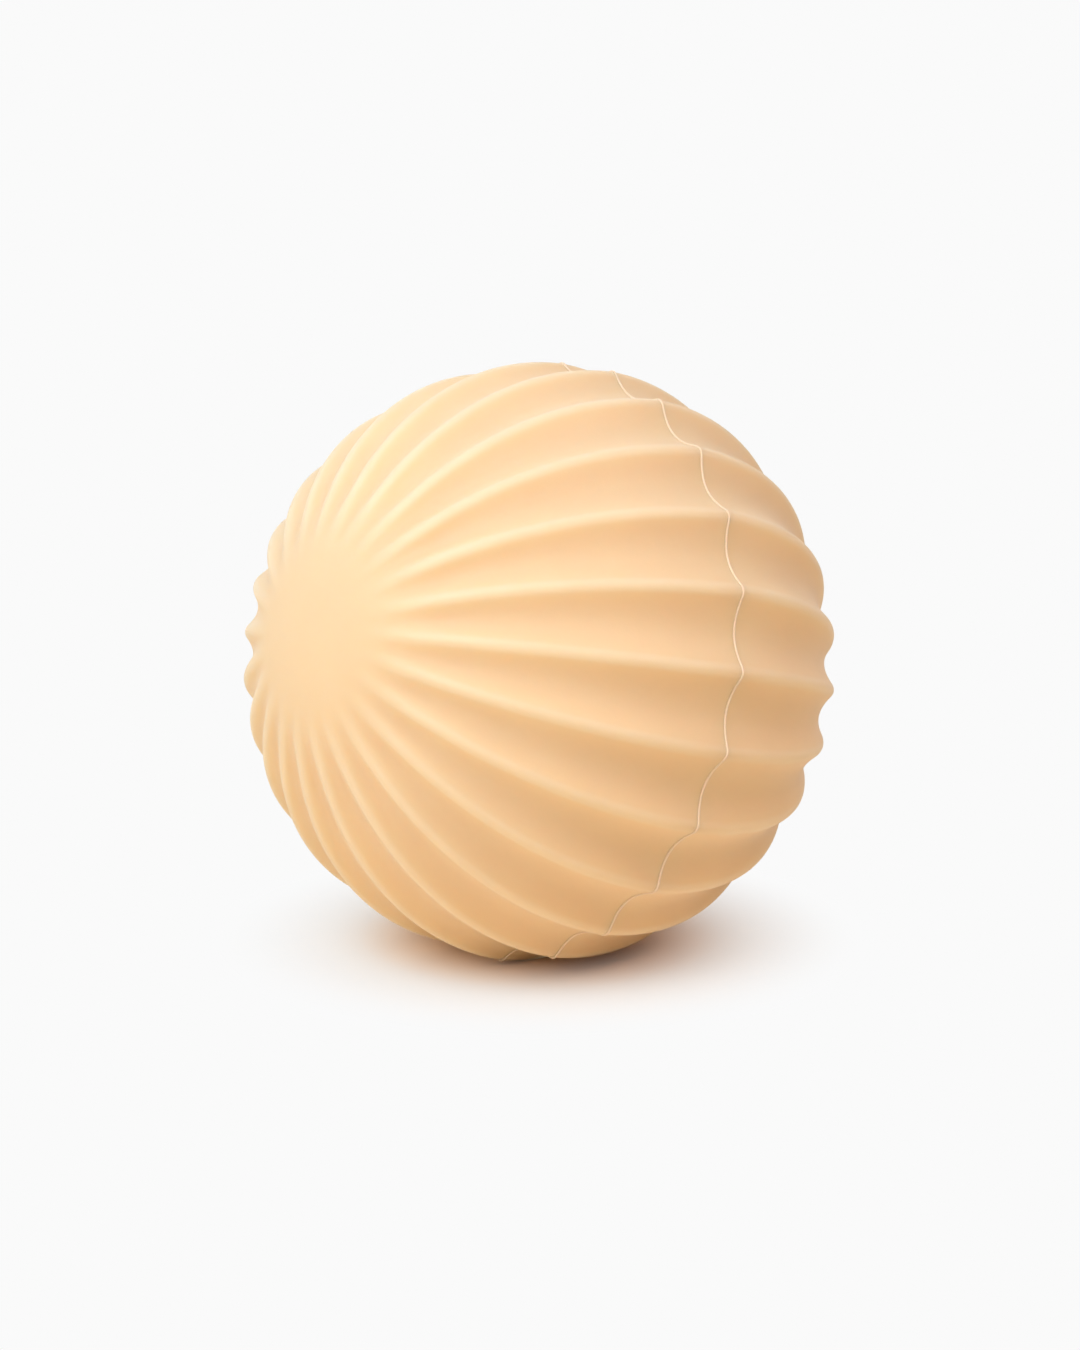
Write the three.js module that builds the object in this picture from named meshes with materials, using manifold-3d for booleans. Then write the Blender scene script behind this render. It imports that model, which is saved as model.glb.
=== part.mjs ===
// Hand grip ball: two fluted silicone half shells bonded at a seam, over a resilient core.
// Millimetres, +Z up, origin at the middle of the ball. The ball lies as it comes to rest on
// a table, with the axis through its two smooth poles leaning a little out of the horizontal.

import * as THREE from 'three';
import { mergeVertices } from 'three/addons/utils/BufferGeometryUtils.js';
import loadManifold from 'manifold-3d';

// Driving dimensions

const seamDiameter = 65;        // across opposite rib crests, in the seam plane
const frontHeight = 30.7;       // from the seam plane to the middle of the front cap
const rearHeight = 33;          // from the seam plane to the middle of the rear cap
const ribCount = 24;
const fluteDepth = 1.6;         // flute bottoms below the rib crests, at the seam
const depthPower = 0.85;        // how fast the flutes get shallower towards a pole
const ribTipWidth = 1.5;        // rounded crest of a rib
const capAngle = 13;            // degrees from the pole where the smooth cap ends
const ribRiseAngle = 18;        // degrees over which the ribs rise out of the cap
const shellWall = 4.5;          // from a flute bottom to the hollow, at the seam
const lipThickness = 1.6;       // locating lip on the front half
const lipHeight = 2.4;          // how far the lip reaches past the seam plane
const bondThickness = 0.3;      // layer of bonding silicone between the two rims
const beadProud = 0.15;         // how far the squeezed-out bond stands above the ribs
const clearance = 0.3;          // between pieces that touch on the real ball
const axisLean = 14.2;          // degrees that the front pole points above the horizontal

// Fineness of the facets

const ringSteps = 10;                         // rings of facets from a pole to the rim
const flankShares = [0, 0.42, 0.71, 1];       // rib edge to flute bottom
const roundSteps = 48;                        // round the hollow and the core
const arcSteps = 12;                          // from the pole to the rim of the hollow

// Sizes that follow from the driving dimensions

const seamRadius = seamDiameter / 2;
const ribPitch = 2 * Math.PI / ribCount;
const seamTip = ribTipWidth / (seamRadius * ribPitch);
const seamAhead = (rearHeight - frontHeight) / 2;       // of the middle of the ball
const rimHeight = bondThickness / 2 + clearance;
const hollowRadius = seamRadius - fluteDepth - shellWall;
const coreRadius = hollowRadius - clearance;
const lipRadius = hollowRadius + lipThickness;
const rebateRadius = lipRadius + clearance;
const rebateDepth = lipHeight + clearance;

// Flat facets on a hollow cut inside the true round, so its points are set out by this much.
const roundAllowance = 1 / Math.cos(Math.PI / roundSteps);
const arcAllowance = 1 / Math.cos(Math.PI / (4 * arcSteps));

// Share of half a pitch that the rounded crest takes, at an angle from the pole: the crest
// keeps its width while the pitch narrows, up to half of the way to the flute bottom.
function tipShare(angle) {
  return Math.min(seamTip / Math.sin(angle), 0.5);
}

// Share of the flute depth at a place across the ribs: 0 on a crest, 1 at a flute bottom.
// fromCrest is the distance from the crest as a share of half a pitch. A small convex arc on
// the crest runs into the long concave arc of the flute with one slope where they meet.
function fluteShare(fromCrest, tip) {
  if (fromCrest < tip) return fromCrest ** 2 / tip;
  return 1 - (1 - fromCrest) ** 2 / (1 - tip);
}

// Share of the seam's flute depth at an angle from the pole: the flutes get shallower as
// their pitch narrows, and fade out into the smooth cap.
function depthShare(angle) {
  const degrees = THREE.MathUtils.radToDeg(angle);
  const rise = THREE.MathUtils.smoothstep(degrees, capAngle, capAngle + ribRiseAngle);
  return rise * Math.sin(angle) ** depthPower;
}

// Every facet edge that runs from pole to rim: its angle round the axis and its distance from
// a crest. A flute bottom lies at angle 0, and the edges are closer together on the crests.
function facetEdges() {
  const shares = flankShares.map((share) => seamTip + share * (1 - seamTip));
  const rising = shares.toReversed();
  const across = [...rising, 0, ...shares.slice(0, -1)];
  const side = [...rising.map(() => -1), 0, ...shares.slice(0, -1).map(() => 1)];
  const edges = [];
  for (let rib = 0; rib < ribCount; rib += 1) {
    across.forEach((fromCrest, i) => {
      const turn = (rib + 0.5 + side[i] * fromCrest / 2) * ribPitch;
      edges.push({ turn, fromCrest });
    });
  }
  return edges;
}

const edges = facetEdges();

// A point at a radius from the axis, a height along it and an angle round it.
function around(radius, height, turn) {
  return [radius * Math.sin(turn), height, radius * Math.cos(turn)];
}

function meshFrom(points, triangles) {
  const geometry = new THREE.BufferGeometry();
  geometry.setAttribute('position', new THREE.Float32BufferAttribute(points.flat(), 3));
  geometry.setIndex(triangles);
  return geometry;
}

// Joins two neighbouring rings of equal count with a band of facets.
function band(lower, upper, count) {
  const triangles = [];
  for (let i = 0; i < count; i += 1) {
    const next = (i + 1) % count;
    triangles.push(lower + i, lower + next, upper + i);
    triangles.push(upper + next, upper + i, lower + next);
  }
  return triangles;
}

// The fluted outside of a half, closed by a flat face at the rim. The crests lie on the one
// sphere that passes through the pole and the circle of crests in the seam plane.
function flutedDome(poleHeight) {
  const crestRadius = (seamRadius ** 2 + poleHeight ** 2) / (2 * poleHeight);
  const crestCentre = poleHeight - crestRadius;
  const rimAngle = Math.acos((rimHeight - crestCentre) / crestRadius);
  const count = edges.length;
  const points = [];
  const triangles = [];
  for (let step = 0; step < ringSteps; step += 1) {
    const angle = rimAngle * (1 - step / ringSteps);
    const depth = fluteDepth * depthShare(angle);
    edges.forEach(({ turn, fromCrest }) => {
      const reach = crestRadius - depth * fluteShare(fromCrest, tipShare(angle));
      const height = step === 0 ? rimHeight : crestCentre + reach * Math.cos(angle);
      points.push(around(reach * Math.sin(angle), height, turn));
    });
    if (step > 0) triangles.push(...band((step - 1) * count, step * count, count));
  }
  const pole = points.push([0, poleHeight, 0]) - 1;
  const middle = points.push([0, rimHeight, 0]) - 1;
  const lastRing = (ringSteps - 1) * count;
  for (let i = 0; i < count; i += 1) {
    const next = (i + 1) % count;
    triangles.push(lastRing + i, lastRing + next, pole);
    triangles.push(next, i, middle);
  }
  return meshFrom(points, triangles);
}

// A solid of revolution whose profile runs up from the axis and back to it.
function revolve(profile) {
  const points = profile.map(([radius, height]) => new THREE.Vector2(radius, height));
  return new THREE.LatheGeometry(points, roundSteps);
}

// Profile points of the hollow, about the middle of the ball, from a height to the pole. Both
// heights are measured from the seam plane towards the pole of the half.
function hollowArc(startHeight, middle) {
  const radius = hollowRadius * roundAllowance * arcAllowance;
  const start = Math.asin((startHeight - middle) / radius);
  const points = [];
  for (let step = 0; step < arcSteps; step += 1) {
    const angle = start + (Math.PI / 2 - start) * step / arcSteps;
    points.push([radius * Math.cos(angle), middle + radius * Math.sin(angle)]);
  }
  points.push([0, middle + radius]);
  return points;
}

// The hollow of the front half runs straight on through its locating lip.
function frontHollow() {
  const below = -2 * lipHeight;
  const arc = hollowArc(-seamAhead, -seamAhead);
  return revolve([[0, below], [arc[0][0], below], ...arc]);
}

// The hollow of the rear half has a rebate that takes the lip.
function rearHollow() {
  const radius = rebateRadius * roundAllowance;
  const below = -rebateDepth;
  const arc = hollowArc(rebateDepth, seamAhead);
  return revolve([[0, below], [radius, below], [radius, rebateDepth], ...arc]);
}

// The blank of the lip, sunk into the half that carries it before the hollow is cut.
function lipBlank() {
  const inside = rimHeight + lipThickness;
  return revolve([[0, -lipHeight], [lipRadius, -lipHeight], [lipRadius, inside], [0, inside]]);
}

// The bond between the rims: a flat ring that follows the flutes and ends in a raised bead.
function bondRing() {
  const half = bondThickness / 2;
  const count = edges.length;
  const inner = rebateRadius * roundAllowance;
  const section = [
    { height: -half, out: null },
    { height: -half, out: beadProud / 2 },
    { height: 0, out: beadProud },
    { height: half, out: beadProud / 2 },
    { height: half, out: null },
  ];
  const points = [];
  const triangles = [];
  section.forEach(({ height, out }, ring) => {
    edges.forEach(({ turn, fromCrest }) => {
      const outline = seamRadius - fluteDepth * fluteShare(fromCrest, seamTip);
      points.push(around(out === null ? inner : outline + out, height, turn));
    });
    triangles.push(...band(ring * count, ((ring + 1) % section.length) * count, count));
  });
  return meshFrom(points, triangles);
}

// A plain moulded ball that fills the hollow and gives the squeeze its resistance.
function coreBall() {
  const points = [[0, -coreRadius]];
  for (let step = 1; step < 2 * arcSteps; step += 1) {
    const angle = -Math.PI / 2 + Math.PI * step / (2 * arcSteps);
    points.push([coreRadius * Math.cos(angle), coreRadius * Math.sin(angle)]);
  }
  points.push([0, coreRadius]);
  return revolve(points);
}

// Joining and cutting

const wasm = await loadManifold();
wasm.setup();

function toSolid(geometry) {
  const bare = geometry.clone();
  bare.deleteAttribute('normal');
  bare.deleteAttribute('uv');
  const merged = mergeVertices(bare, 1e-4);
  const mesh = new wasm.Mesh({
    numProp: 3,
    vertProperties: new Float32Array(merged.attributes.position.array),
    triVerts: new Uint32Array(merged.index.array),
  });
  return new wasm.Manifold(mesh);
}

function toGeometry(solid) {
  const mesh = solid.getMesh();
  const geometry = new THREE.BufferGeometry();
  geometry.setAttribute('position', new THREE.BufferAttribute(mesh.vertProperties, 3));
  geometry.setIndex(new THREE.BufferAttribute(mesh.triVerts, 1));
  return geometry;
}

// Materials

const siliconeSkin = new THREE.MeshStandardMaterial({ color: 0xf6cf9f, roughness: 0.62, metalness: 0 });
const bondSilicone = new THREE.MeshStandardMaterial({ color: 0xf8e4c4, roughness: 0.55, metalness: 0 });
const coreRubber = new THREE.MeshStandardMaterial({ color: 0xe6d9c2, roughness: 0.85, metalness: 0 });

function piece(name, geometry, material) {
  geometry.computeVertexNormals();
  const mesh = new THREE.Mesh(geometry, material);
  mesh.name = name;
  return mesh;
}

// Assembly: the pole axis is Y inside the turned group, with the front pole at its +Y end and
// the middle of the ball at its origin.

const frontDome = toSolid(flutedDome(frontHeight));
const frontSolid = frontDome.add(toSolid(lipBlank())).subtract(toSolid(frontHollow()));
const rearSolid = toSolid(flutedDome(rearHeight)).subtract(toSolid(rearHollow()));

const frontHalf = piece('front_half_shell', toGeometry(frontSolid), siliconeSkin);
frontHalf.position.y = seamAhead;
const rearHalf = piece('rear_half_shell', toGeometry(rearSolid), siliconeSkin);
rearHalf.position.y = seamAhead;
rearHalf.rotation.x = Math.PI;
const bond = piece('seam_bond_ring', bondRing(), bondSilicone);
bond.position.y = seamAhead;

const ball = new THREE.Group();
ball.rotation.x = Math.PI - THREE.MathUtils.degToRad(axisLean);
ball.add(frontHalf);
ball.add(rearHalf);
ball.add(bond);
ball.add(piece('resilient_core', coreBall(), coreRubber));

const gripBall = new THREE.Group();
gripBall.add(ball);

export default gripBall;
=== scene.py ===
# %% [markdown]
# # A fluted silicone grip ball
#
# The ball is two soft silicone half shells, bonded rim to rim round a springy core. The CAD
# model already holds their sizes and places, so this lesson only makes what the eye sees: fine
# fluted skins, the bead of the bond line, their materials, and a small studio round them.

# %% Load the frame
import math

import bpy
import numpy as np
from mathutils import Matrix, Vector


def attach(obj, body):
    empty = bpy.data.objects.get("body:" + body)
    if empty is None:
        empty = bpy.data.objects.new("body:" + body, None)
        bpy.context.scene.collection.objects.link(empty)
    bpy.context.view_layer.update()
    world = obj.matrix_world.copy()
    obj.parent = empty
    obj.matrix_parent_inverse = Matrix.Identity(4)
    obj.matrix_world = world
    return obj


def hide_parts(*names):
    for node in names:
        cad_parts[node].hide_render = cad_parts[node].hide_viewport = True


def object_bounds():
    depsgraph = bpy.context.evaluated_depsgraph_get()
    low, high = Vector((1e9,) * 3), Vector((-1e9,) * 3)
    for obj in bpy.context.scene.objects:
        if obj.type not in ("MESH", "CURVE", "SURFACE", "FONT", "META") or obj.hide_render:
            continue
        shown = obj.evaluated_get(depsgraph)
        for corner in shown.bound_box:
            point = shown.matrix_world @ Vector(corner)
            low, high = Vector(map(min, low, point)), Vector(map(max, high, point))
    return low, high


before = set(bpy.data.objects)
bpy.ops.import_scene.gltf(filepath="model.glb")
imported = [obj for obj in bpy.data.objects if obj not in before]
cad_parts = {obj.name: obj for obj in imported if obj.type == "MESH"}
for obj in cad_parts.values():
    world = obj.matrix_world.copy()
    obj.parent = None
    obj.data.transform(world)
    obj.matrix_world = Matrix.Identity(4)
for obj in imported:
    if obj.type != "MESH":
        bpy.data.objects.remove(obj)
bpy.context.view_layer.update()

# %% [markdown]
# ## The sizes that drive the shape
#
# These are the real sizes of the ball, in millimetres and degrees, as in the CAD model. Every
# surface below is worked out from them. Blender works in metres, so lengths go through `MM`.

# %% Sizes
MM = 0.001
SEAM_RADIUS = 32.5 * MM       # rib crests in the seam plane
FRONT_HEIGHT = 30.7 * MM      # seam plane to the middle of the front cap
REAR_HEIGHT = 33.0 * MM       # seam plane to the middle of the rear cap
RIB_COUNT = 24
FLUTE_DEPTH = 1.6 * MM        # at the seam
DEPTH_POWER = 0.85            # how fast the flutes get shallower towards a pole
RIB_TIP_WIDTH = 1.5 * MM      # rounded crest of a rib
CAP_ANGLE = math.radians(13)  # where the smooth cap ends
RIB_RISE = math.radians(18)   # over which the ribs come out of the cap
SHELL_WALL = 4.5 * MM
LIP_THICKNESS = 1.6 * MM
LIP_HEIGHT = 2.4 * MM
BOND_THICKNESS = 0.3 * MM
BEAD_PROUD = 0.15 * MM
CLEARANCE = 0.3 * MM
AXIS_LEAN = math.radians(14.2)

RIB_PITCH = 2 * math.pi / RIB_COUNT
SEAM_AHEAD = (REAR_HEIGHT - FRONT_HEIGHT) / 2
HOLLOW_RADIUS = SEAM_RADIUS - FLUTE_DEPTH - SHELL_WALL
LIP_RADIUS = HOLLOW_RADIUS + LIP_THICKNESS
REBATE_RADIUS = LIP_RADIUS + CLEARANCE
REBATE_DEPTH = LIP_HEIGHT + CLEARANCE
print("rib pitch at the seam in mm:", round(SEAM_RADIUS * RIB_PITCH / MM, 2))

# %% [markdown]
# ## Flutes and ribs
#
# Cut across the seam, the real outline is a row of long hollow arcs that meet in small rounded
# crests. Two parabolas that share a slope where they meet give exactly that. The flutes get
# shallower where the ribs crowd together towards a pole, and fade out into a smooth cap.

# %% Flute profile


def smooth(value, low, high):
    """0 below low, 1 above high, and a smooth S between: 3 t squared less 2 t cubed."""
    t = np.clip((value - low) / (high - low), 0, 1)
    return t * t * (3 - 2 * t)


def tip_share(angle):
    """Share of half a pitch that the rounded crest takes, at an angle from the pole: the crest
    keeps its width while the pitch shrinks with the sine, up to half of the way."""
    pitch = SEAM_RADIUS * RIB_PITCH * np.maximum(np.sin(angle), 0.01)
    return np.minimum(RIB_TIP_WIDTH / pitch, 0.5)


def flute_share(from_crest, tip):
    """Share of the flute depth, 0 on a crest and 1 at a flute bottom. from_crest is the distance
    from the crest over half a pitch: its square over the tip share on the tip, and beyond it one
    less the square of what is left of the way over what is left of the tip share."""
    crest = from_crest**2 / tip
    flute = 1 - (1 - from_crest) ** 2 / (1 - tip)
    return np.where(from_crest < tip, crest, flute)


def depth_share(angle):
    """Share of the seam's flute depth at an angle from the pole: a power of its sine, a little
    under one, as the pitch narrows with the sine, times a smooth rise out of the cap."""
    return np.sin(angle) ** DEPTH_POWER * smooth(angle, CAP_ANGLE, CAP_ANGLE + RIB_RISE)


# %% [markdown]
# ## Columns round the ball
#
# A crest is ten times tighter than a flute, so the columns of the grid are drawn together there:
# the distance from the crest grows as a power of the count.

# %% Columns
HALF_COLUMNS = 12             # from a crest to a flute bottom
CROWDING = 1.35               # 1 would space the columns evenly

count = np.arange(-HALF_COLUMNS, HALF_COLUMNS)
offset = np.sign(count) * (np.abs(count) / HALF_COLUMNS) ** CROWDING
rib = np.arange(RIB_COUNT)[:, None]
TURN = ((rib + 0.5 + offset / 2) * RIB_PITCH).ravel()
FROM_CREST = np.tile(np.abs(offset), RIB_COUNT)
print("columns round the ball:", TURN.size)

# %% [markdown]
# ## From the ball's axis to the frame
#
# Shapes are easiest as a radius from the pole axis, a height along it and a turn round it. The
# ball lies with that axis leaning, its front pole towards -Y and a little up, so one function
# turns all three into a place in the frame.

# %% Placing


def place(radius, height, turn):
    """Points in the frame: the sine and cosine of the turn times the radius are the two sides of
    the seam plane, and the height runs along the leaning pole axis. The frame's origin is the
    middle of the ball, so heights from the seam plane are set forward by what it lies ahead."""
    radius, height, turn = np.broadcast_arrays(radius, height + SEAM_AHEAD, turn)
    side, drop = radius * np.sin(turn), radius * np.cos(turn)
    lean_cos, lean_sin = math.cos(AXIS_LEAN), math.sin(AXIS_LEAN)
    y = -height * lean_cos - drop * lean_sin
    z = height * lean_sin - drop * lean_cos
    return np.stack([side, y, z], axis=-1)


# %% [markdown]
# ## From a grid to a mesh
#
# Every surface here is a grid whose columns run round the axis. Its rows either start and end in
# a pole, as on a shell, or join up with each other, as on a ring. The volume that the mesh
# encloses is printed: it is positive only when the faces point outwards.

# %% Meshes
SHARP_EDGE = math.radians(50)  # faces that meet at more than this keep a hard edge


def rings_of(index):
    """Four-sided faces between neighbouring rows of an index grid that closes round its columns."""
    beside = np.roll(index, -1, axis=1)
    corners = [index[:-1], index[1:], beside[1:], beside[:-1]]
    return np.stack(corners, axis=-1).reshape(-1, 4)


def volume_of(points, faces):
    """Enclosed volume: a sixth of the triple product of each triangle's corners, added up."""
    corners = points[faces]
    total = 0.0
    for k in range(1, faces.shape[1] - 1):
        cross = np.cross(corners[:, k], corners[:, k + 1])
        total += np.einsum("ij,ij->", corners[:, 0], cross) / 6
    return total


def make_piece(name, points, quads, fans, material):
    """A smooth-shaded object at the origin with its place in its mesh."""
    mesh = bpy.data.meshes.new(name)
    mesh.from_pydata(points.tolist(), [], quads.tolist() + fans.tolist())
    mesh.polygons.foreach_set("use_smooth", np.ones(len(mesh.polygons), bool))
    mesh.set_sharp_from_angle(angle=SHARP_EDGE)
    mesh.materials.append(material)
    piece = bpy.data.objects.new(name, mesh)
    bpy.context.scene.collection.objects.link(piece)
    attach(piece, "root")
    volume = volume_of(points, quads) + (volume_of(points, fans) if len(fans) else 0)
    print(f"{name}: {len(points)} points, {volume * 1e6:.1f} cubic centimetres")
    return piece


def closed_shell(name, grid, material):
    """A grid of rows by columns whose first and last rows are each a single pole point."""
    rows, columns = grid.shape[:2]
    inner = grid[1:-1].reshape(-1, 3)
    points = np.concatenate([grid[:1, 0], inner, grid[-1:, 0]])
    index = 1 + np.arange((rows - 2) * columns).reshape(rows - 2, columns)
    first, last = np.full(columns, 0), np.full(columns, len(points) - 1)
    beside = np.roll(index, -1, axis=1)
    start = np.stack([first, index[0], beside[0]], axis=-1)
    end = np.stack([last, beside[-1], index[-1]], axis=-1)
    return make_piece(name, points, rings_of(index), np.concatenate([start, end]), material)


def closed_ring(name, grid, material):
    """A grid whose rows join up too, so that it closes both ways."""
    rows, columns = grid.shape[:2]
    index = np.arange(rows * columns).reshape(rows, columns)
    index = np.concatenate([index, index[:1]])
    no_fans = np.zeros((0, 3), int)
    return make_piece(name, grid.reshape(-1, 3), rings_of(index), no_fans, material)


# %% [markdown]
# ## Colours and nodes
#
# Colours are written as the eye picks them off a screen, in sRGB, and turned to the linear
# values that the renderer adds up. One small function adds a node, sets it and links it.

# %% Colour and node helpers


def colour(hex_code):
    """sRGB hex to linear red, green, blue and alpha: the standard curve, a straight line near
    black and a power of 2.4 above it."""
    channels = np.array([int(hex_code[i:i + 2], 16) for i in (0, 2, 4)]) / 255
    low, high = channels / 12.92, ((channels + 0.055) / 1.055) ** 2.4
    return (*np.where(channels <= 0.04045, low, high).tolist(), 1.0)


def add(tree, kind, inputs=None, **settings):
    """Adds a node. inputs maps a socket's name or number to a value or to a socket to link."""
    node = tree.nodes.new(kind)
    for name, value in settings.items():
        setattr(node, name, value)
    for socket, value in (inputs or {}).items():
        if isinstance(value, bpy.types.NodeSocket):
            tree.links.new(value, node.inputs[socket])
        else:
            node.inputs[socket].default_value = value
    return node


def new_material(name):
    """An empty material with an output node; returns the material, its tree and the output."""
    material = bpy.data.materials.new(name)
    material.use_nodes = True
    material.node_tree.nodes.clear()
    output = add(material.node_tree, "ShaderNodeOutputMaterial")
    return material, material.node_tree, output


# %% [markdown]
# ## The skin: moulded matte silicone
#
# Silicone from a blasted mould is matte and a little milky. Its pigment clouds slowly over
# centimetres. The crests carry a painted highlight: a band a shade paler than the flutes, which
# stands in for the sheen and the light that comes through the thin crests. Painting that on an
# image would need a UV map, so the crest band is an attribute that each shell brings along, and
# the clouds are noise in the ball's own coordinates.

# %% Skin colour
# painted highlight along the rib crests, paler than the flutes
SKIN_CREST_HIGHLIGHT = "F5DFBE"
SKIN_FLUTE = "F4DBB5"
CLOUD = 14 * MM               # size of the slow changes in the pigment
CLOUD_SHADE = (0.975, 1.02)   # what they make of the colour, darkest and palest
NOISE_SPAN = (0.3, 0.7)       # where most values of a noise texture lie


def skin_colour(tree, where):
    """Flute colour to the colour of the painted crest highlight by the crest attribute, times a
    shade that clouds slowly.
    """
    crest = add(tree, "ShaderNodeAttribute", attribute_name="crest").outputs["Fac"]
    tint = add(
        tree, "ShaderNodeMix", {"Factor": crest, "A": colour(SKIN_FLUTE), "B": colour(SKIN_CREST_HIGHLIGHT)},
        data_type="RGBA",
    )
    clouds = add(tree, "ShaderNodeTexNoise", {"Vector": where, "Scale": 1 / CLOUD, "Detail": 3.0})
    shade = add(
        tree, "ShaderNodeMapRange",
        {
            "Value": clouds.outputs["Fac"],
            "From Min": NOISE_SPAN[0], "From Max": NOISE_SPAN[1],
            "To Min": CLOUD_SHADE[0], "To Max": CLOUD_SHADE[1],
        },
    )
    skin = add(
        tree, "ShaderNodeVectorMath", {0: tint.outputs["Result"], 1: shade.outputs["Result"]},
        operation="MULTIPLY",
    )
    return skin.outputs["Vector"]


print("skin from", SKIN_FLUTE, "in the flutes to", SKIN_CREST_HIGHLIGHT, "on the crests")

# %% [markdown]
# ## Light inside the skin
#
# Light that enters silicone wanders a few millimetres before it comes out, which softens the
# shade in the flutes. Full subsurface scattering does that, with one trap: on the real ball the
# halves are bonded and light crosses the seam, but here it would leave through the rim, and both
# sides of the seam would turn dark. So the light's reach is shortened close to the seam.

# %% Reach of the light
SKIN_REACH = 3.2 * MM
SEAM_REACH = 0.25 * MM
SEAM_BAND = 5 * MM            # over which the reach grows from one to the other


def light_reach(tree, where):
    """Distance from the seam plane, which is the part of a place along the pole axis less what
    the seam lies ahead, taken over the band to a reach between the two values."""
    pole = (0.0, -math.cos(AXIS_LEAN), math.sin(AXIS_LEAN))
    along = add(tree, "ShaderNodeVectorMath", {0: where, 1: pole}, operation="DOT_PRODUCT")
    ahead = add(
        tree, "ShaderNodeMath", {0: along.outputs["Value"], 1: SEAM_AHEAD}, operation="SUBTRACT",
    )
    from_seam = add(tree, "ShaderNodeMath", {0: ahead.outputs["Value"]}, operation="ABSOLUTE")
    reach = add(
        tree, "ShaderNodeMapRange",
        {
            "Value": from_seam.outputs["Value"], "From Max": SEAM_BAND,
            "To Min": SEAM_REACH, "To Max": SKIN_REACH,
        },
    )
    return reach.outputs["Result"]


# %% [markdown]
# ## The skin's surface
#
# A blasted mould leaves a grain of about a tenth of a millimetre, which is the size of a pixel
# here. So it is drawn nearly three times as coarse, as a faint bump. It spreads the roughness a
# little too, so that the sheen isn't as even as on a glazed surface.

# %% Silicone skin
GRAIN = 0.28 * MM             # coarser than the real 0.1 mm, so that it shows
GRAIN_DEPTH = 0.02 * MM
SKIN_ROUGHNESS = (0.5, 0.62)
SILICONE_IOR = 1.41


def moulded_silicone():
    """Matte silicone: a rough dielectric whose whole body scatters light."""
    material, tree, output = new_material("moulded_silicone")
    where = add(tree, "ShaderNodeTexCoord").outputs["Object"]
    grain = add(tree, "ShaderNodeTexNoise", {"Vector": where, "Scale": 1 / GRAIN, "Detail": 2.0})
    satin = add(
        tree, "ShaderNodeMapRange",
        {
            "Value": grain.outputs["Fac"],
            "To Min": SKIN_ROUGHNESS[0], "To Max": SKIN_ROUGHNESS[1],
        },
    )
    bump = add(
        tree, "ShaderNodeBump",
        {"Height": grain.outputs["Fac"], "Strength": 0.25, "Distance": GRAIN_DEPTH},
    )
    surface = add(
        tree, "ShaderNodeBsdfPrincipled",
        {
            "Base Color": skin_colour(tree, where),
            "Roughness": satin.outputs["Result"],
            "Normal": bump.outputs["Normal"],
            "IOR": SILICONE_IOR,
            "Subsurface Weight": 1.0,
            "Subsurface Radius": (1.0, 0.95, 0.9),
            "Subsurface Scale": light_reach(tree, where),
        },
    )
    tree.links.new(surface.outputs["BSDF"], output.inputs["Surface"])
    return material


silicone = moulded_silicone()
print("light reaches", SKIN_REACH / MM, "mm in the skin and", SEAM_REACH / MM, "mm at the seam")

# %% [markdown]
# ## Half shells
#
# One profile runs from the outer pole over the flutes to the rim, round a small edge, in along
# the rim and back through the hollow to the inner pole. Revolved, that is a closed shell. Only
# the outside knows about flutes; from the rim inwards every row is a plain circle. The front
# half carries the locating lip, and the rear half the rebate that takes it.

# %% Shell surfaces
OUTER_ROWS = 96
HOLLOW_ROWS = 14
EDGE_ROUND = 0.03 * MM        # edge of a rim, beside the bond
EDGE_ROWS = 5
BOND_GAP = 0.004 * MM         # keeps the rim's face off the bond's
# the painted highlight along the crests fades out over this band
CREST_HIGHLIGHT_BAND = (0.6, 1.3)       # in tip widths, where the paler crest ends
RIM = BOND_THICKNESS / 2 + BOND_GAP


def outer_rows(pole_height):
    """Angle, radius and height of the fluted outside, pole to rim. The crests lie on the one
    sphere that passes through the pole and the seam circle: its radius is the sum of their
    squares over twice the pole height. The flutes lie below it by their depth times its two
    shares."""
    edge = RIM + EDGE_ROUND
    sphere = (SEAM_RADIUS**2 + pole_height**2) / (2 * pole_height)
    centre = pole_height - sphere
    angle = np.linspace(0, math.acos((edge - centre) / sphere), OUTER_ROWS)[:, None]
    across = flute_share(FROM_CREST, tip_share(angle))
    reach = sphere - FLUTE_DEPTH * depth_share(angle) * across
    radius, height = reach * np.sin(angle), centre + reach * np.cos(angle)
    height[-1] = edge
    return angle, radius, height


def edge_rows(outline):
    """A quarter round from the outside to the rim: the outline less the edge's radius, plus that
    radius times the cosine, and down by its sine."""
    bend = np.linspace(0, math.pi / 2, EDGE_ROWS + 1)[1:, None]
    radius = outline - EDGE_ROUND + EDGE_ROUND * np.cos(bend)
    height = RIM + EDGE_ROUND - EDGE_ROUND * np.sin(bend) + 0 * outline
    return radius, height


def hollow_rows(corners, start_height, middle):
    """Plain circles: the rim's corners, then an arc of the hollow's radius about the middle of the
    ball, from a height above the seam plane to the inner pole."""
    start = math.asin((start_height - middle) / HOLLOW_RADIUS)
    bend = np.linspace(start, math.pi / 2, HOLLOW_ROWS)
    arc = np.stack([HOLLOW_RADIUS * np.cos(bend), middle + HOLLOW_RADIUS * np.sin(bend)], axis=-1)
    profile = np.concatenate([np.array(corners), arc])
    flat = np.ones_like(TURN)
    return profile[:, :1] * flat, profile[:, 1:] * flat


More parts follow.
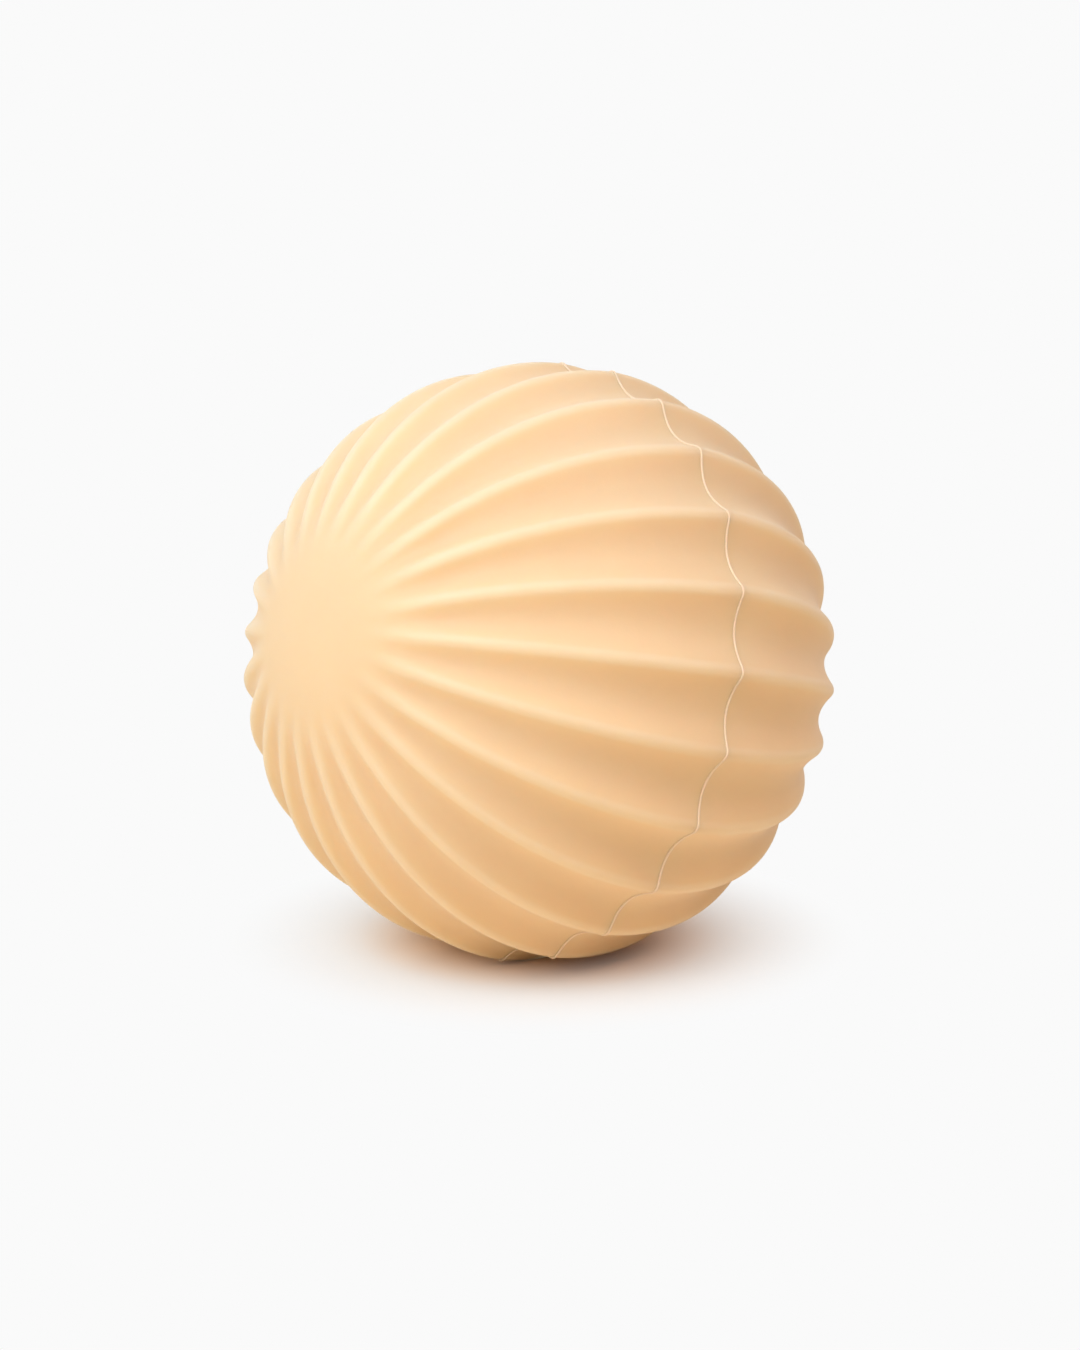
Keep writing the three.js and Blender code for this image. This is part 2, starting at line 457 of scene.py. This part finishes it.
def mark_crests(piece, angle, shape):
    """The crest attribute of each point, which masks the painted highlight along the crests: 1 on
    the rounded tip and 0 beyond it, by a smooth step over the distance from the crest in tip
    widths, rising out of the cap as the ribs do."""
    crest = np.zeros(shape)
    band = 1 - smooth(FROM_CREST / tip_share(angle), *CREST_HIGHLIGHT_BAND)
    crest[:OUTER_ROWS] = band * smooth(angle, CAP_ANGLE, CAP_ANGLE + RIB_RISE)
    values = np.concatenate([crest[:1, 0], crest[1:-1].ravel(), crest[-1:, 0]])
    layer = piece.data.attributes.new("crest", "FLOAT", "POINT")
    layer.data.foreach_set("value", values.astype(np.float32))


def half_shell(name, pole_height, corners, start_height, facing):
    """Stacks the three stretches into one grid and turns it to its pole: facing is 1 or -1."""
    angle, radius, height = outer_rows(pole_height)
    edge_radius, edge_height = edge_rows(radius[-1])
    inner_radius, inner_height = hollow_rows(corners, start_height, -facing * SEAM_AHEAD)
    radius = np.concatenate([radius, edge_radius, inner_radius])
    height = np.concatenate([height, edge_height, inner_height])
    if facing > 0:
        grid = place(radius, height, TURN)
    else:
        grid = place(radius, -height, -TURN)
    piece = closed_shell(name, grid, silicone)
    mark_crests(piece, angle, radius.shape)
    return piece


lip_corners = [
    (LIP_RADIUS, RIM), (LIP_RADIUS, -LIP_HEIGHT), (HOLLOW_RADIUS, -LIP_HEIGHT),
]
rebate_corners = [(REBATE_RADIUS, RIM), (REBATE_RADIUS, REBATE_DEPTH)]
front_skin = half_shell("front_shell_skin", FRONT_HEIGHT, lip_corners, 0.0, 1)
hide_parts("front_half_shell")
rear_skin = half_shell("rear_shell_skin", REAR_HEIGHT, rebate_corners, REBATE_DEPTH, -1)
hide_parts("rear_half_shell")

# %% [markdown]
# ## The bond line
#
# Where the halves were pressed together, the bonding silicone squeezed out and cured as a fine
# raised bead that follows every flute. It has less pigment than the skin, so it is paler, and
# its free surface cured smooth, so it is glossier than the blasted skin.

# %% Bond silicone
BOND_COLOUR = "F3DDC3"
BOND_CLOUD = 3 * MM           # how soon its smoothness changes along the bead
BOND_ROUGHNESS = (0.38, 0.5)
BOND_REACH = 0.3 * MM         # of the light inside it


def cured_bond():
    """Pale, smoother silicone, whose gloss changes a little along the bead."""
    material, tree, output = new_material("cured_bond_silicone")
    where = add(tree, "ShaderNodeTexCoord").outputs["Object"]
    clouds = add(
        tree, "ShaderNodeTexNoise", {"Vector": where, "Scale": 1 / BOND_CLOUD, "Detail": 2.0},
    )
    gloss = add(
        tree, "ShaderNodeMapRange",
        {
            "Value": clouds.outputs["Fac"],
            "To Min": BOND_ROUGHNESS[0], "To Max": BOND_ROUGHNESS[1],
        },
    )
    surface = add(
        tree, "ShaderNodeBsdfPrincipled",
        {
            "Base Color": colour(BOND_COLOUR),
            "Roughness": gloss.outputs["Result"],
            "IOR": SILICONE_IOR,
            "Subsurface Weight": 0.3,
            "Subsurface Radius": (1.0, 0.6, 0.4),
            "Subsurface Scale": BOND_REACH,
        },
    )
    tree.links.new(surface.outputs["BSDF"], output.inputs["Surface"])
    return material


# %% Seam bead
NOSE_ROWS = 11


def seam_bead():
    """A ring whose outer edge is a half round on the fluted outline: the outline plus what stands
    proud, less the nose radius, plus that radius times the cosine, at a height of its sine."""
    nose = BOND_THICKNESS / 2
    outline = SEAM_RADIUS - FLUTE_DEPTH * flute_share(FROM_CREST, tip_share(math.pi / 2))
    bend = np.linspace(math.pi / 2, -math.pi / 2, NOSE_ROWS)[:, None]
    radius = outline + BEAD_PROUD - nose + nose * np.cos(bend)
    height = nose * np.sin(bend) + 0 * outline
    inner = np.full((2, TURN.size), REBATE_RADIUS)
    sides = np.array([[-nose], [nose]]) + 0 * outline
    grid = place(np.concatenate([radius, inner]), np.concatenate([height, sides]), TURN)
    piece = closed_ring("seam_bond_bead", grid, cured_bond())
    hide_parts("seam_bond_ring")
    return piece


bead = seam_bead()

# %% [markdown]
# ## The core
#
# Nothing shows of the core, but it is part of the ball, so it is made too: a plain moulded ball
# of springy rubber that just clears the hollow.

# %% Core rubber
CORE_COLOUR = "E6D9C2"
FOAM_CELL = 0.9 * MM
FOAM_DEPTH = 0.1 * MM


def foamed_rubber():
    """Dull rubber with the fine open grain of a foamed moulding."""
    material, tree, output = new_material("foamed_core_rubber")
    where = add(tree, "ShaderNodeTexCoord").outputs["Object"]
    cells = add(tree, "ShaderNodeTexVoronoi", {"Vector": where, "Scale": 1 / FOAM_CELL})
    bump = add(
        tree, "ShaderNodeBump",
        {"Height": cells.outputs["Distance"], "Strength": 0.4, "Distance": FOAM_DEPTH},
    )
    surface = add(
        tree, "ShaderNodeBsdfPrincipled",
        {"Base Color": colour(CORE_COLOUR), "Roughness": 0.85, "Normal": bump.outputs["Normal"]},
    )
    tree.links.new(surface.outputs["BSDF"], output.inputs["Surface"])
    return material


# %% Core ball
CORE_ROWS = 49
CORE_COLUMNS = 96


def core_ball():
    """A sphere: the sine of the angle from the pole times the radius, and its cosine."""
    radius = HOLLOW_RADIUS - CLEARANCE
    angle = np.linspace(0, math.pi, CORE_ROWS)[:, None]
    turn = np.linspace(0, 2 * math.pi, CORE_COLUMNS, endpoint=False)
    grid = place(radius * np.sin(angle), radius * np.cos(angle) - SEAM_AHEAD, turn)
    piece = closed_shell("core_ball", grid, foamed_rubber())
    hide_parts("resilient_core")
    return piece


core = core_ball()

# %% [markdown]
# ## Camera
#
# The photograph looks at the ball from its right front, a little above the table, from twelve
# radii away with a portrait lens. Fixing the camera first lets the lamps be placed from it.

# %% Camera
PHOTO_HEIGHT = 1350           # pixels on the long side of the photograph
BALL_RADIUS_PX = 300.4        # radius of the ball in the photograph
BALL_ABOVE_MIDDLE_PX = 13.2   # how far the ball's centre lies above the picture's
BALL_LEFT_OF_MIDDLE_PX = 0.9
CAMERA_RADII = 12.2           # distance from the ball's centre, in ball radii
CAMERA_AZIMUTH = math.radians(49.8)
CAMERA_ELEVATION = math.radians(12.7)

focal_px = BALL_RADIUS_PX * math.sqrt(CAMERA_RADII**2 - 1)
back = Vector((
    math.sin(CAMERA_AZIMUTH) * math.cos(CAMERA_ELEVATION),
    -math.cos(CAMERA_AZIMUTH) * math.cos(CAMERA_ELEVATION),
    math.sin(CAMERA_ELEVATION),
))
right = Vector((math.cos(CAMERA_AZIMUTH), math.sin(CAMERA_AZIMUTH), 0))
up = back.cross(right)

camera_data = bpy.data.cameras.new("camera")
camera_data.sensor_width = 36.0
camera_data.lens = camera_data.sensor_width * focal_px / PHOTO_HEIGHT
camera_data.shift_x = BALL_LEFT_OF_MIDDLE_PX / PHOTO_HEIGHT
camera_data.shift_y = -BALL_ABOVE_MIDDLE_PX / PHOTO_HEIGHT
camera_data.clip_start = 0.01
camera = bpy.data.objects.new("camera", camera_data)
camera.location = back * CAMERA_RADII * SEAM_RADIUS
camera.rotation_mode = "QUATERNION"
camera.rotation_quaternion = (-back).to_track_quat("-Z", "Y")
bpy.context.scene.collection.objects.link(camera)
bpy.context.scene.camera = camera
print("lens in mm:", round(camera_data.lens, 1))

# %% [markdown]
# ## What the camera sees directly
#
# The background has to be an even white, but white walls all round would light the ball too
# strongly and too flatly. The Light Path node tells what a ray is for: rays from the camera and
# rays that a gloss sends on may see plain white, while the rays that carry light see the room.

# %% Rays that see white
WHITE = "FAFAFA"


def seen_directly(tree):
    """1 for a camera, glossy or transmission ray, and 0 for the rays that light things."""
    path = add(tree, "ShaderNodeLightPath")
    seen = path.outputs["Is Camera Ray"]
    for other in ("Is Glossy Ray", "Is Transmission Ray"):
        either = add(tree, "ShaderNodeMath", {0: seen, 1: path.outputs[other]}, operation="MAXIMUM")
        seen = either.outputs["Value"]
    return seen


# %% [markdown]
# ## Floor
#
# A pale floor takes the ball's soft shadow and then runs out into the white backdrop. Near the
# ball it is a diffuse surface with painted light in its colour: a painted warm glow for the light
# that the silicone throws down on it, and a painted amber shade round the contact, where some
# light comes through the silicone. Tracing light through the whole ball would take far longer, so
# the floor's colour carries it. Further out the camera sees plain white instead, so that no edge
# and no falloff shows. The ball is soft, so it settles a little into its contact.

# %% Floor material
SINK = 0.4 * MM               # how far the soft ball settles into its contact
# painted amber shade round the contact, where some light comes through the silicone
FLOOR_CONTACT_SHADE = "F1CFA5"      # round the contact
# painted warm glow: the floor's colour under the ball, and to the light that it bounces everywhere
FLOOR_WARM_GLOW = "F9E7CD"        # under the ball, in its warm glow
FLOOR_OPEN = "EEF0EF"
CONTACT_SHADE_INNER = 8 * MM
CONTACT_SHADE_OUTER = 24 * MM
SHADOW_INNER = 0.25 * SEAM_RADIUS
SHADOW_OUTER = 1.1 * SEAM_RADIUS
SHADOW_BEHIND = 3 * MM        # its middle, away from the camera
GLOW_FADE = 2.5               # how much sooner the glow fades than the shadow

ball_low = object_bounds()[0]
floor_z = float(ball_low[2]) + SINK


def pale_floor():
    """Painted amber shade at the contact, then a painted warm glow, then neutral, each by a smooth
    step over the distance from the middle of the shadow, and plain white to the camera further out.
    To the rays that light things, the floor stays warm everywhere."""
    material, tree, output = new_material("pale_floor")
    where = add(tree, "ShaderNodeTexCoord").outputs["Object"]
    middle = (-SHADOW_BEHIND * back.x, -SHADOW_BEHIND * back.y, floor_z)
    away = add(tree, "ShaderNodeVectorMath", {0: where, 1: middle}, operation="DISTANCE")
    fade = add(
        tree, "ShaderNodeMapRange",
        {"Value": away.outputs["Value"], "From Min": SHADOW_INNER, "From Max": SHADOW_OUTER},
        interpolation_type="SMOOTHSTEP",
    )
    plain = add(
        tree, "ShaderNodeMath", {0: seen_directly(tree), 1: fade.outputs["Result"]},
        operation="MULTIPLY",
    )
    beyond = add(
        tree, "ShaderNodeMath", {0: plain.outputs["Value"], 1: GLOW_FADE}, operation="MULTIPLY",
        use_clamp=True,
    )
    # painted warm glow near the ball, giving way to the neutral floor further out for the camera
    paint = add(
        tree, "ShaderNodeMix",
        {"Factor": beyond.outputs["Value"], "A": colour(FLOOR_WARM_GLOW), "B": colour(FLOOR_OPEN)},
        data_type="RGBA",
    )
    # painted amber shade: the floor's colour turns amber within this reach of the contact
    contact = add(
        tree, "ShaderNodeMapRange",
        {"Value": away.outputs["Value"], "From Min": CONTACT_SHADE_INNER, "From Max": CONTACT_SHADE_OUTER},
        interpolation_type="SMOOTHSTEP",
    )
    amber = add(
        tree, "ShaderNodeMix",
        {
            "Factor": contact.outputs["Result"],
            "A": colour(FLOOR_CONTACT_SHADE), "B": paint.outputs["Result"],
        },
        data_type="RGBA",
    )
    lit = add(tree, "ShaderNodeBsdfDiffuse", {"Color": amber.outputs["Result"]})
    white = add(tree, "ShaderNodeEmission", {"Color": colour(WHITE), "Strength": 1.0})
    mix = add(
        tree, "ShaderNodeMixShader",
        {0: plain.outputs["Value"], 1: lit.outputs["BSDF"], 2: white.outputs["Emission"]},
    )
    tree.links.new(mix.outputs["Shader"], output.inputs["Surface"])
    return material


print("floor at", round(floor_z / MM, 2), "mm")

# %% Floor
FLOOR_HALF = 3.0              # metres, far beyond the picture

floor_corners = FLOOR_HALF * np.array([(-1, -1), (1, -1), (1, 1), (-1, 1)])
floor_points = np.column_stack([floor_corners, np.full(4, floor_z)])
floor_mesh = bpy.data.meshes.new("floor")
floor_mesh.from_pydata(floor_points.tolist(), [], [(0, 1, 2, 3)])
floor_mesh.materials.append(pale_floor())
floor = bpy.data.objects.new("floor", floor_mesh)
bpy.context.scene.collection.objects.link(floor)

# %% [markdown]
# ## Room
#
# An even white tent would light all sides alike, and the ribs would go flat. So the walls of this
# room are bright on the camera's left and behind the ball, and get darker towards the other side.

# %% Walls
LIT_SIDE = -0.72 * right + 0.27 * up - 0.63 * back
LIT_WALL = 0.62               # of a white card's brightness
DIM_WALL = 0.0


def room_light():
    """A tent whose walls brighten evenly from the dim side to the lit side: by half of one plus
    the cosine of the angle from the lit side."""
    world = bpy.data.worlds.new("room")
    bpy.context.scene.world = world
    world.use_nodes = True
    tree = world.node_tree
    tree.nodes.clear()
    ray = add(tree, "ShaderNodeTexCoord").outputs["Generated"]
    cosine = add(
        tree, "ShaderNodeVectorMath", {0: ray, 1: LIT_SIDE.normalized()}, operation="DOT_PRODUCT",
    )
    walls = add(
        tree, "ShaderNodeMapRange",
        {
            "Value": cosine.outputs["Value"], "From Min": -1.0,
            "To Min": DIM_WALL, "To Max": LIT_WALL,
        },
    )
    glow = add(
        tree, "ShaderNodeBackground",
        {"Color": colour("FFFFFF"), "Strength": walls.outputs["Result"]},
    )
    white = add(tree, "ShaderNodeBackground", {"Color": colour(WHITE), "Strength": 1.0})
    mix = add(
        tree, "ShaderNodeMixShader",
        {0: seen_directly(tree), 1: glow.outputs["Background"], 2: white.outputs["Background"]},
    )
    output = add(tree, "ShaderNodeOutputWorld")
    tree.links.new(mix.outputs["Shader"], output.inputs["Surface"])


room_light()
print("walls from", DIM_WALL, "to", LIT_WALL, "of a white card")

# %% [markdown]
# ## Lamps
#
# One large white soft box stands high on the camera's left and models the ribs. A weaker, warmer
# one on its right keeps their shaded sides from going grey. With the walls and the floor they
# light a white card to about white, so that each colour renders about as it is written.

# %% Soft boxes
KEY_SIDE = -0.5 * right + 0.55 * up + 0.67 * back
KEY_LEVEL = 0.665             # of a white card's brightness
KEY_COLOUR = "FFFFFF"
FILL_SIDE = 0.5 * right + 0.7 * up + 0.5 * back
FILL_LEVEL = 0.46
FILL_COLOUR = "FFDECB"
LAMP_SIZE = 0.5               # metres
LAMP_DISTANCE = 0.7


def soft_box(name, direction, level, tint):
    """A square lamp that faces the ball. level is the brightness of a white card that faces it:
    a lamp's power is that times pi squared times the distance squared."""
    data = bpy.data.lights.new(name, "AREA")
    data.shape = "SQUARE"
    data.size = LAMP_SIZE
    data.color = colour(tint)[:3]
    data.energy = level * math.pi**2 * LAMP_DISTANCE**2
    lamp = bpy.data.objects.new(name, data)
    lamp.location = direction.normalized() * LAMP_DISTANCE
    lamp.rotation_mode = "QUATERNION"
    lamp.rotation_quaternion = (-direction).to_track_quat("-Z", "Y")
    bpy.context.scene.collection.objects.link(lamp)
    print(f"{name}: {data.energy:.2f} watts")


soft_box("key_soft_box", KEY_SIDE, KEY_LEVEL, KEY_COLOUR)
soft_box("fill_soft_box", FILL_SIDE, FILL_LEVEL, FILL_COLOUR)
bpy.context.scene.view_settings.view_transform = "Standard"
